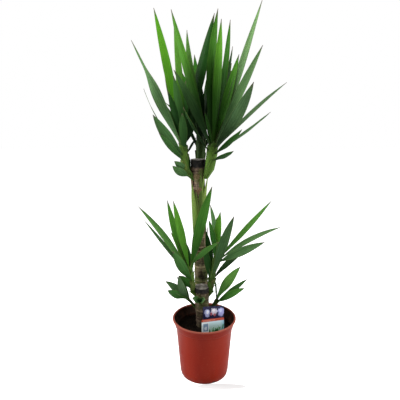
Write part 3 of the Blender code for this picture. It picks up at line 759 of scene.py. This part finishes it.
def pot_material():
    """Moulded terracotta plastic: flow marks, scuffs, painted shade on the collar under the lip, a painted
    highlight on the lip and a stained foot.
    """
    mat, tree, shader = new_material("pot_plastic", 0.34, 0.08)
    place = object_place(tree)
    height = split(tree, place)[2]
    flow = texture(tree, place, 16.0, 3.0, 0.5, (1, 1, 0.25))
    body = ramp(tree, flow, [(0.3, (0.192, 0.008, 0.002)), (0.7, (0.245, 0.015, 0.004))])
    fine = texture(tree, place, 900.0, 2.0, 0.5)
    body = over(tree, body, fine, [(0.35, 0.0), (0.8, 0.25)], (0.30, 0.040, 0.016))
    scuff = texture(tree, place, 120.0, 6.0, 0.7, (1, 1, 3))
    body = over(tree, body, scuff, [(0.60, 0.0), (0.72, 0.35)], (0.42, 0.13, 0.075))
    # painted shade on the collar, under the lip
    body = tint(tree, body, height, [(0.146, 0.0), (0.162, 0.45), (0.1725, 0.45), (0.1735, 0.0)],
                (0.72, 0.42, 0.40))
    # painted highlight along the lip
    body = over(tree, body, height, [(0.1735, 0.0), (0.1772, 0.8)], (0.29, 0.105, 0.075))
    dust = texture(tree, place, 60.0, 6.0, 0.7)
    low = ramp(tree, height, [(0.0, 0.6), (0.02, 0.0)])
    stained = maths(tree, "MULTIPLY", low, ramp(tree, dust, [(0.4, 0.0), (0.7, 1.0)]))
    body = mix(tree, stained, body, (0.13, 0.06, 0.04))
    tree.links.new(body, shader.inputs["Base Color"])
    tree.links.new(ramp(tree, dust, [(0.3, 0.30), (0.7, 0.44)]), shader.inputs["Roughness"])
    bump(tree, shader, mix(tree, 0.5, fine, scuff), 0.10, 0.0004)
    return mat


def pot_inside_smear_shade_material():
    """The inner wall: the same plastic, wet and smeared with peat, and dark with painted shade."""
    mat, tree, shader = new_material("pot_inside_smear_shade", 0.6, 0.10)
    place = object_place(tree)
    smear = texture(tree, place, 42.0, 7.0, 0.7, (1, 1, 0.6))
    # peat smears, and painted shade of the inner wall
    body = ramp(tree, smear, [(0.36, (0.011, 0.006, 0.004)), (0.50, (0.034, 0.017, 0.011)),
                              (0.62, (0.095, 0.034, 0.021)), (0.76, (0.17, 0.045, 0.025))])
    crumbs = texture(tree, place, 420.0, 4.0, 0.6)
    body = over(tree, body, crumbs, [(0.60, 0.0), (0.66, 0.8)], (0.035, 0.022, 0.014))
    tree.links.new(body, shader.inputs["Base Color"])
    bump(tree, shader, crumbs, 0.6, 0.0008)
    return mat


pot_plastic = pot_material()
pot_inside_smear_shade = pot_inside_smear_shade_material()
inner_low, inner_top = BODY_LOW_R - WALL, BODY_TOP_R - WALL
pot_rings = [
    # up the inner wall
    (inner_low, PLATE_Z + 0.004), (inner_top, COLLAR_LOW_Z - 0.002),
    (COLLAR_LOW_R - WALL, COLLAR_LOW_Z + 0.001),
    # over the rounded lip
    (LIP_INNER_R, RIM_Z - LIP_DROP), (LIP_INNER_R, RIM_Z - 0.0014), (LIP_INNER_R + 0.0004, RIM_Z - 0.0005),
    (LIP_INNER_R + 0.0014, RIM_Z), (RIM_R - 0.0018, RIM_Z), (RIM_R - 0.0006, RIM_Z - 0.0005),
    (RIM_R, RIM_Z - 0.0015), (RIM_R, RIM_Z - LIP_DROP + 0.0010),
    (RIM_R - 0.0004, RIM_Z - LIP_DROP + 0.0002), (RIM_R - 0.0012, RIM_Z - LIP_DROP),
    # down the collar
    (COLLAR_TOP_R + 0.0003, RIM_Z - LIP_DROP - 0.0003), (COLLAR_TOP_R - 0.0002, RIM_Z - LIP_DROP - 0.0016),
    (COLLAR_LOW_R + 0.0002, COLLAR_LOW_Z + 0.0012), (COLLAR_LOW_R - 0.0004, COLLAR_LOW_Z),
    # down the wall
    (BODY_TOP_R + 0.0006, COLLAR_LOW_Z - 0.0012), (BODY_TOP_R, COLLAR_LOW_Z - 0.0026),
    (BODY_TOP_R - 0.0057, 0.082), (BODY_LOW_R + 0.0002, BODY_LOW_Z + 0.0025),
    (BODY_LOW_R - 0.0002, BODY_LOW_Z), (BODY_LOW_R - 0.0009, BODY_LOW_Z - 0.0014),
    # round the foot ring, under the plate and down its middle pad
    (FOOT_R + 0.0009, 0.0045), (FOOT_R + 0.0006, 0.0015), (FOOT_R, 0.0003), (FOOT_R - 0.0004, 0.0),
    (FOOT_R - 0.0018, 0.0), (FOOT_R - 0.0020, 0.0006), (FOOT_R - 0.0020, PLATE_Z),
    (0.018, PLATE_Z), (0.016, 0.0),
]
pot = turned("pot_body", (inner_low - 0.0018, PLATE_Z + 0.002), pot_rings, 128)
for k in range(NOTCHES):
    angle = math.radians(NOTCH_FIRST + 360.0 / NOTCHES * k)
    bpy.ops.mesh.primitive_cylinder_add(
        vertices=24, radius=NOTCH_R, depth=NOTCH_DEEP, rotation=(0.0, math.pi / 2, angle),
        location=around(FOOT_R, angle))
    notch = bpy.context.object
    cut = pot.modifiers.new("Notch", "BOOLEAN")
    cut.operation = "DIFFERENCE"
    cut.solver = "EXACT"
    cut.object = notch
    apply(pot, cut)
    bpy.data.objects.remove(notch, do_unlink=True)
pot.data.materials.append(pot_plastic)
pot.data.materials.append(pot_inside_smear_shade)
# the second material, peat smears and painted shade, goes on the inner wall and on the plate, under the lip
for face in pot.data.polygons:
    inward = face.normal.x * face.center.x + face.normal.y * face.center.y < -0.0005
    if (inward or face.normal.z > 0.5) and PLATE_Z < face.center.z < RIM_Z - 0.003:
        face.material_index = 1
finish_piece(pot, "pot", 34)


# Soil

def soil_material():
    """Moist peat: nearly black, with brown crumbs and a few pale fibres."""
    mat, tree, shader = new_material("peat", 0.95, 0.04)
    place = object_place(tree)
    lumps = texture(tree, place, 260.0, 6.0, 0.7)
    body = ramp(tree, lumps, [(0.3, (0.0012, 0.0009, 0.0006)), (0.55, (0.0050, 0.0034, 0.0022)),
                              (0.70, (0.020, 0.012, 0.007)), (0.80, (0.060, 0.038, 0.020))])
    threads = texture(tree, place, 90.0, 4.0, 0.6, (6, 1, 1))
    body = over(tree, body, threads, [(0.66, 0.0), (0.70, 0.6)], (0.06, 0.036, 0.018))
    tree.links.new(body, shader.inputs["Base Color"])
    bump(tree, shader, lumps, 0.9, 0.002)
    return mat


peat = soil_material()
# the bed's top edge lies just inside the sloping wall
edge_r = inner_low + (inner_top - inner_low) * (SOIL_Z - 0.013) / (COLLAR_LOW_Z - 0.015) - 0.0006
soil_rings = [(inner_low - 0.001, 0.014), (edge_r, SOIL_Z - 0.004)]
soil_rings += [(edge_r * (1 - k / 22), SOIL_Z) for k in range(1, 22)]
soil = turned("peat_bed", (inner_low - 0.004, 0.0105), soil_rings, 96)
for v in soil.data.vertices:
    if v.co.z > SOIL_Z - 0.006:
        p = v.co * 60
        lump = noise.noise(p) * 0.0016 + noise.noise(p * 3.1) * 0.0011 + noise.noise(v.co * 480) * 0.0006
        r = math.hypot(v.co.x, v.co.y)
        v.co.z += min(0.0009, lump - 0.0006 - (0.002 if r > edge_r - 0.004 else 0.0))
soil.data.materials.append(peat)
bpy.ops.mesh.primitive_ico_sphere_add(subdivisions=1, radius=1.0)
crumb = bpy.context.object
crumbs = []
for k in range(CRUMBS):
    copy = bpy.data.objects.new("crumb", crumb.data.copy())
    bpy.context.scene.collection.objects.link(copy)
    angle, r = draw.uniform(0, math.tau), edge_r * math.sqrt(draw.random()) * 0.97
    size = draw.uniform(0.0006, 0.0017)
    longer = Vector((draw.random(), draw.random(), draw.random()))
    sunk = 0.0008 + (0.001 if r > 0.076 else 0.0)  # the bed dips near the wall
    for v in copy.data.vertices:
        q = Vector((v.co.x * (0.7 + longer.x), v.co.y * (0.7 + longer.y), v.co.z * 0.7)) * size
        v.co = q + around(r, angle, SOIL_Z - sunk)
    copy.data.materials.append(peat)
    crumbs.append(copy)
bpy.data.objects.remove(crumb, do_unlink=True)
soil = join("peat_bed", [soil] + crumbs)
finish_piece(soil, "soil", 60)


# Canes

def path_at(path, z):
    """Centre and radius of a cane at a height, in metres."""
    h = z / MM
    for low, high in zip(path, path[1:]):
        if h <= high[2] or high is path[-1]:
            share = (h - low[2]) / (high[2] - low[2])
            return [(low[k] + (high[k] - low[k]) * share) * MM for k in (0, 1, 3)]


def bark_material():
    """Yucca bark: brown cork in ragged rings, cracks, green and purple stains, a drier top, a wet foot, and
    painted shade on the tall cane just over the short one.
    """
    mat, tree, shader = new_material("bark", 0.9, 0.08)
    place = object_place(tree)
    x, _, z = split(tree, place)
    cracks = texture(tree, place, 75.0, 6.0, 0.65, (1, 1, 0.35))
    rings = texture(tree, place, 22.0, 4.0, 0.6, (0.4, 0.4, 6.0))
    stain = texture(tree, place, 26.0, 3.0, 0.6, (1, 1, 0.6))
    flecks = texture(tree, place, 300.0, 4.0, 0.65)
    body = ramp(tree, cracks, [(0.36, (0.018, 0.012, 0.008)), (0.45, (0.082, 0.060, 0.036)),
                               (0.55, (0.155, 0.122, 0.074)), (0.66, (0.29, 0.24, 0.155))])
    body = over(tree, body, stain, [(0.50, 0.0), (0.60, 0.75)], (0.080, 0.110, 0.022))
    body = over(tree, body, stain, [(0.36, 0.7), (0.46, 0.0)], (0.070, 0.034, 0.032))
    body = over(tree, body, rings, [(0.57, 0.0), (0.62, 0.75)], (0.34, 0.26, 0.165))
    body = over(tree, body, rings, [(0.37, 0.8), (0.43, 0.0)], (0.014, 0.009, 0.007))
    body = over(tree, body, flecks, [(0.62, 0.0), (0.68, 0.5)], (0.42, 0.37, 0.27))
    body = tint(tree, body, z, [(0.50, 0.0), (0.62, 0.6)], (1.9, 1.75, 2.0))
    # painted shade with a green algae cast, on the right of the tall cane just over the short one, where the
    # low crowns shade it
    above_short = ramp(tree, z, [(0.268, 0.0), (0.277, 1.0), (0.300, 0.8), (0.40, 0.0)])
    right_side = ramp(tree, maths(tree, "ADD", x, 0.05), [(0.033, 0.35), (0.045, 1.0)])
    shade_over_short = maths(tree, "MULTIPLY", above_short, right_side)
    body = times(tree, body, shade_over_short, (0.28, 0.42, 0.22))
    wet = maths(tree, "ADD", z, swing(tree, cracks, 0.12))
    body = over(tree, body, wet, [(0.15, 0.8), (0.24, 0.35), (0.30, 0.0)], (0.022, 0.013, 0.011))
    tree.links.new(body, shader.inputs["Base Color"])
    bump(tree, shader, mix(tree, 0.5, cracks, rings), 1.0, 0.004)
    return mat


bark = bark_material()


def make_bark(name, node, path, cuts, seed):
    """A cane: a cylinder cut across, then drawn out along its path with rings and fissures."""
    bpy.ops.mesh.primitive_cylinder_add(vertices=64, radius=1.0, depth=1.0, end_fill_type="NGON")
    ob = bpy.context.object
    ob.name = name
    cut_finer(ob, cuts)
    low, high = BARK_LOW_Z, path[-1][2] * MM - BARK_UNDER_WAX
    for v in ob.data.vertices:
        z = low + (high - low) * (v.co.z + 0.5)
        angle = math.atan2(v.co.y, v.co.x)
        cx, cy, radius = path_at(path, z)
        wave = 1.0 + 0.025 * math.sin(3 * angle + z * 21) + 0.012 * math.sin(5 * angle - z * 34)
        ring, crack, fine = (
            noise.noise(around(0.02 * round_it, angle, z * along_it + seed))
            for round_it, along_it in ((12, 150), (190, 55), (420, 300)))
        r = radius * wave + ring * 0.0012 + min(0.0, crack + 0.1) * 0.0022 + fine * 0.0005
        v.co = around(r, angle, z, cx, cy)
    ob.data.materials.append(bark)
    finish_piece(ob, node, 60)


make_bark("cane_tall_bark", "cane_tall", TALL_PATH, cuts=210, seed=3.0)
make_bark("cane_short_bark", "cane_short", SHORT_PATH, cuts=70, seed=9.0)


# Old leaf feet left on the tall cane, and dry fibres beside its wax: middle angle, half angle, foot and tip
# height, how far the tip stands off, tone and dryness. Angles are in degrees from the front, to the right.
STRIPS = [
    (-46, 38, 0.405, 0.577, 0.0055, 0.75, 0.20),
    (-20, 22, 0.440, 0.552, 0.0010, 0.50, 0.20),
    (20, 24, 0.470, 0.614, 0.0012, 0.32, 0.15),
    (44, 26, 0.480, 0.604, 0.0028, 0.75, 0.20),
    (70, 24, 0.500, 0.598, 0.0090, 1.0, 0.35),
    (54, 16, 0.520, 0.582, 0.0110, 1.0, 0.30),
    (12, 40, 0.545, 0.566, 0.0015, 0.30, 1.0),
    (-10, 46, 0.590, 0.606, 0.0012, 0.20, 0.8),
    (-75, 26, 0.560, 0.628, 0.0060, 0.15, 0.9),
    (-88, 30, 0.588, 0.6425, 0.0034, 0.12, 0.45),
    (150, 32, 0.430, 0.560, 0.0050, 0.45, 0.2),
    (205, 30, 0.360, 0.480, 0.0045, 0.35, 0.6),
    (110, 24, 0.330, 0.440, 0.0040, 0.50, 0.3),
]


def make_strip(middle, half, low, high, lift, tone, dry):
    """A blade laid round the tall cane, its tip standing off the bark."""
    mesh = sheath_blade.data.copy()
    for v in mesh.vertices:
        t = (v.co.y + 1.0) / 2.0
        z = low + (high - low) * t
        cx, cy, radius = path_at(TALL_PATH, z)
        share = smooth(-0.25, 0.3, t) * (1.0 - t ** 3)
        turn = math.radians(middle + half * v.co.x * share - 90.0)
        r = radius + 0.0022 + lift * t ** 2 - 0.0010 * abs(v.co.x) ** 3
        v.co = around(r, turn, z, cx, cy)
    mesh.materials.append(sheath)
    give_value(mesh, "tone", tone)
    give_value(mesh, "bloom", dry)
    return thickened("strip", mesh, SHEATH_THICK)


finish_piece(join("cane_tall_strips", [make_strip(*row) for row in STRIPS]), None, 50)
for spare in (blade, sheath_blade):
    bpy.data.objects.remove(spare, do_unlink=True)


def wax_material():
    """Dark sealing wax: soft gloss, brush drags, a face and rim painted pale grey as their sheen, and a hem
    that shows bark.
    """
    mat, tree, shader = new_material("cut_wax", 0.42, 0.14)
    drag = texture(tree, object_place(tree), 85.0, 5.0, 0.65)
    body = ramp(tree, drag, [(0.36, (0.003, 0.0028, 0.0026)), (0.54, (0.010, 0.009, 0.0075)),
                             (0.68, (0.050, 0.042, 0.034))])
    # painted reflection: the top face and rim pale grey
    painted_top_sheen = ramp(tree, drag, [(0.36, (0.070, 0.064, 0.056)), (0.52, (0.23, 0.21, 0.185)),
                             (0.66, (0.42, 0.40, 0.36))])
    body = over(tree, body, given(tree, "tone"), [(0.35, 0.0), (0.75, 0.9)], painted_top_sheen)
    ragged = maths(tree, "ADD", given(tree, "hem"), swing(tree, drag, 1.1))
    body = over(tree, body, ragged, [(0.55, 0.0), (0.85, 0.9)], (0.085, 0.058, 0.040))
    tree.links.new(body, shader.inputs["Base Color"])
    tree.links.new(ramp(tree, drag, [(0.3, 0.34), (0.7, 0.60)]), shader.inputs["Roughness"])
    bump(tree, shader, drag, 0.6, 0.002)
    return mat


wax = wax_material()


def make_wax(name, node, path, skirt, seed):
    """A cap of wax: a cylinder cut finer all over and rounded at its top, with a runny lower edge."""
    top = path[-1][2] * MM
    bpy.ops.mesh.primitive_cylinder_add(vertices=48, radius=1.0, depth=1.0, end_fill_type="TRIFAN")
    ob = bpy.context.object
    ob.name = name
    cut_finer(ob, 10, all_over=True)
    for v in ob.data.vertices:
        share = v.co.z + 0.5
        angle = math.atan2(v.co.y, v.co.x)
        drip = skirt * (0.94 + 0.22 * noise.noise(around(1.6, angle, seed)))
        z = top + 0.0016 - drip * (1 - share)
        cx, cy, radius = path_at(path, min(z, top))
        round_off = 0.0014 * max(0.0, (share - 0.9) / 0.1) ** 2
        bulge = 0.0012 + 0.0005 * noise.noise(around(3, angle, share * 3 + seed))
        wave = 1.0 + 0.025 * math.sin(3 * angle + z * 21)
        flat = math.hypot(v.co.x, v.co.y)
        r = flat * (radius * wave + bulge - round_off)
        v.co = around(r, angle, z - (0.0004 if flat < 0.5 else 0.0), cx, cy)
    heights = [v.co.z for v in ob.data.vertices]
    # tone 1 on the top face and rim, for their painted sheen
    give_values(ob.data, "tone", [1.0 if z > top + 0.0010 else 0.0 for z in heights])
    give_values(ob.data, "hem", [smooth(top - 0.4 * skirt, top - skirt, z) for z in heights])
    ob.data.materials.append(wax)
    finish_piece(ob, node, 45)


make_wax("wax_tall_cap", "wax_tall", TALL_PATH, skirt=0.027, seed=2.0)
make_wax("wax_short_cap", "wax_short", SHORT_PATH, skirt=0.016, seed=5.0)


# Cards

def spot_group():
    """1 inside a soft oval on a card or the floor, with a ragged rim, else 0."""
    names = ("Across", "Up", "X", "Y", "Wide", "Tall", "Wobble")
    tree, ins, outs = new_group("spot", dict.fromkeys(names, "Float"), {"Mask": "Float"})
    dx = maths(tree, "DIVIDE", maths(tree, "SUBTRACT", ins["Across"], ins["X"]), ins["Wide"])
    dy = maths(tree, "DIVIDE", maths(tree, "SUBTRACT", ins["Up"], ins["Y"]), ins["Tall"])
    far = maths(tree, "ADD", maths(tree, "MULTIPLY", dx, dx), maths(tree, "MULTIPLY", dy, dy))
    far = maths(tree, "ADD", far, swing(tree, ins["Wobble"], 2.6))
    tree.links.new(ramp(tree, far, [(0.55, 1.0), (0.95, 0.0)]), outs["Mask"])
    return tree


spot = spot_group()


def card_axes(tree, foot, yaw, size):
    """Shares across and up a standing card, 0 to 1, and the vector that holds both."""
    mapping = add(tree, "ShaderNodeMapping", vector_type="TEXTURE")
    mapping.inputs["Location"].default_value = foot
    mapping.inputs["Rotation"].default_value = (0.0, 0.0, math.radians(yaw))
    mapping.inputs["Scale"].default_value = size
    tree.links.new(object_place(tree), mapping.inputs["Vector"])
    flat = mapping.outputs["Vector"]
    x, _, z = split(tree, flat)
    return maths(tree, "ADD", x, 0.5), z, flat


def patch(tree, body, u, v, box, colour):
    """Print a box on a card: left, right, low and high."""
    left, right, low, high = box
    mask = maths(tree, "GREATER_THAN", u, left)
    for kind, value, edge in (("LESS_THAN", u, right), ("GREATER_THAN", v, low), ("LESS_THAN", v, high)):
        mask = maths(tree, "MULTIPLY", mask, maths(tree, kind, value, edge))
    return mix(tree, mask, body, colour)


def front_card():
    """Care card: a warm band over a pale sky with green blades, and a framed square at the left."""
    mat, tree, shader = new_material("card_front_print", 0.35, 0.2)
    u, v, flat = card_axes(tree, *FRONT_CARD)
    body = ramp(tree, v, [(0.30, (0.36, 0.58, 0.46)), (0.62, (0.52, 0.72, 0.72)), (0.84, (0.60, 0.78, 0.86))])
    body = over(tree, body, u, [(0.80, 0.0), (0.98, 0.8)], (0.22, 0.50, 0.66))
    blades = texture(tree, flat, 9.0, 2.0, 0.5, (1.6, 1, 0.25))
    for ground, steep, colour in ((0.34, 2.0, (0.07, 0.26, 0.07)), (0.42, 1.9, (0.014, 0.075, 0.035))):
        tops = maths(tree, "MULTIPLY", maths(tree, "SUBTRACT", blades, ground), steep)
        body = mix(tree, maths(tree, "LESS_THAN", v, tops), body, colour)
    body = patch(tree, body, u, v, (0.0, 0.33, 0.0, 0.84), (0.74, 0.82, 0.82))
    body = patch(tree, body, u, v, (0.07, 0.29, 0.26, 0.74), (0.20, 0.30, 0.42))
    wobble = texture(tree, flat, 14.0, 2.0, 0.5)
    figure = use_group(tree, spot, Across=u, Up=v, X=0.18, Y=0.44, Wide=0.07, Tall=0.14, Wobble=wobble)
    body = mix(tree, figure["Mask"], body, (0.62, 0.70, 0.74))
    for k in range(3):
        line = (0.07, 0.28 - 0.03 * k, 0.06 + 0.06 * k, 0.085 + 0.06 * k)
        body = patch(tree, body, u, v, line, (0.30, 0.36, 0.38))
    body = mix(tree, maths(tree, "GREATER_THAN", v, 0.85), body, (0.43, 0.065, 0.033))
    body = patch(tree, body, u, v, (0.06, 0.60, 0.90, 0.95), (0.60, 0.22, 0.16))
    tree.links.new(body, shader.inputs["Base Color"])
    return mat


def back_card():
    """Picture card: three pale flowers on deep blue over a dark band."""
    mat, tree, shader = new_material("card_back_print", 0.35, 0.2)
    u, v, flat = card_axes(tree, *BACK_CARD)
    wobble = texture(tree, flat, 9.0, 3.0, 0.6)
    body = ramp(tree, wobble, [(0.35, (0.006, 0.006, 0.020)), (0.65, (0.030, 0.030, 0.095))])
    for x, y, wide, tall, colour in (
            (0.20, 0.74, 0.15, 0.17, (0.42, 0.45, 0.72)), (0.52, 0.80, 0.17, 0.15, (0.66, 0.62, 0.74)),
            (0.86, 0.76, 0.17, 0.20, (0.40, 0.42, 0.78)), (0.22, 0.78, 0.07, 0.08, (0.78, 0.80, 0.90)),
            (0.50, 0.84, 0.08, 0.06, (0.85, 0.80, 0.84)), (0.84, 0.82, 0.09, 0.08, (0.62, 0.66, 0.92)),
            (0.40, 0.70, 0.06, 0.07, (0.40, 0.10, 0.14)), (0.56, 0.66, 0.07, 0.06, (0.46, 0.14, 0.16))):
        petal = use_group(tree, spot, Across=u, Up=v, X=x, Y=y, Wide=wide, Tall=tall, Wobble=wobble)
        body = mix(tree, petal["Mask"], body, colour)
    body = mix(tree, maths(tree, "LESS_THAN", v, 0.50), body, (0.020, 0.014, 0.040))
    tree.links.new(body, shader.inputs["Base Color"])
    return mat


for node, mat in (("label_front", front_card()), ("label_back", back_card())):
    nodes[node].data.materials.clear()
    nodes[node].data.materials.append(mat)


# Stage: a white floor under a white room, with soft light from both sides. The camera sees the room at full
# white, and the plant is lit by a share of it, as in front of a lit backdrop.
ROOM_LIGHT = 0.25
FLOOR_GLOW = 0.85
SHADOW_DEPTH = 0.62
FLOOR_SHADOW = {"X": 0.050, "Y": -0.080, "Wide": 0.090, "Tall": 0.015, "Wobble": 0.5}
SOFTBOXES = {  # place, aim, width and height in metres, watts
    "softbox_left": ((-1.7, -0.2, 1.2), (0.0, 0.0, 0.5), (1.0, 2.0), 47.0),
    "softbox_right": ((1.7, -0.2, 1.2), (0.0, 0.0, 0.5), (1.0, 2.0), 42.0),
    "softbox_top": ((-0.3, -0.5, 2.4), (0.0, 0.0, 0.6), (1.4, 1.4), 22.0),
}


def floor_material():
    """White floor that glows for the camera alone, with a faint painted shadow, and painted shade under the
    pot.
    """
    mat, tree, shader = new_material("studio_white", 0.9, 0.0)
    place = object_place(tree)
    x, y, _ = split(tree, place)
    shadow = use_group(tree, spot, Across=x, Up=y, **FLOOR_SHADOW)["Mask"]
    far = add(tree, "ShaderNodeVectorMath", operation="LENGTH")
    tree.links.new(place, far.inputs[0])
    # painted shade under the pot, dark in its drain notches
    under_pot = maths(tree, "LESS_THAN", far.outputs["Value"], FOOT_R - 0.0005)
    shade = maths(tree, "MAXIMUM", maths(tree, "MULTIPLY", shadow, SHADOW_DEPTH), under_pot)
    body = mix(tree, shade, (0.80, 0.80, 0.80), (0.20, 0.20, 0.20))
    tree.links.new(body, shader.inputs["Base Color"])
    glow = mix(tree, shade, (1.0, 1.0, 1.0), (0.0, 0.0, 0.0))
    tree.links.new(glow, shader.inputs["Emission Color"])
    seen = add(tree, "ShaderNodeLightPath").outputs["Is Camera Ray"]
    tree.links.new(maths(tree, "MULTIPLY", seen, FLOOR_GLOW), shader.inputs["Emission Strength"])
    return mat


bpy.ops.mesh.primitive_plane_add(size=14.0, location=(0.0, 2.0, 0.0))
floor = bpy.context.object
bpy.ops.object.transform_apply(location=True)
floor.name = "studio_floor"
floor.data.materials.append(floor_material())

world = bpy.data.worlds.new("studio")
bpy.context.scene.world = world
world.use_nodes = True
sky = world.node_tree.nodes["Background"]
sky.inputs["Color"].default_value = (1.0, 1.0, 1.0, 1.0)
seen = add(world.node_tree, "ShaderNodeLightPath").outputs["Is Camera Ray"]
brighter = maths(world.node_tree, "MULTIPLY", seen, 1.0 - ROOM_LIGHT)
world.node_tree.links.new(maths(world.node_tree, "ADD", brighter, ROOM_LIGHT), sky.inputs["Strength"])

for name, (place, aim, size, watts) in SOFTBOXES.items():
    bpy.ops.object.light_add(type="AREA", location=place)
    lamp = bpy.context.object
    lamp.name = name
    lamp.data.shape = "RECTANGLE"
    lamp.data.size, lamp.data.size_y = size
    lamp.data.energy = watts
    lamp.rotation_euler = (Vector(aim) - Vector(place)).to_track_quat("-Z", "Y").to_euler()
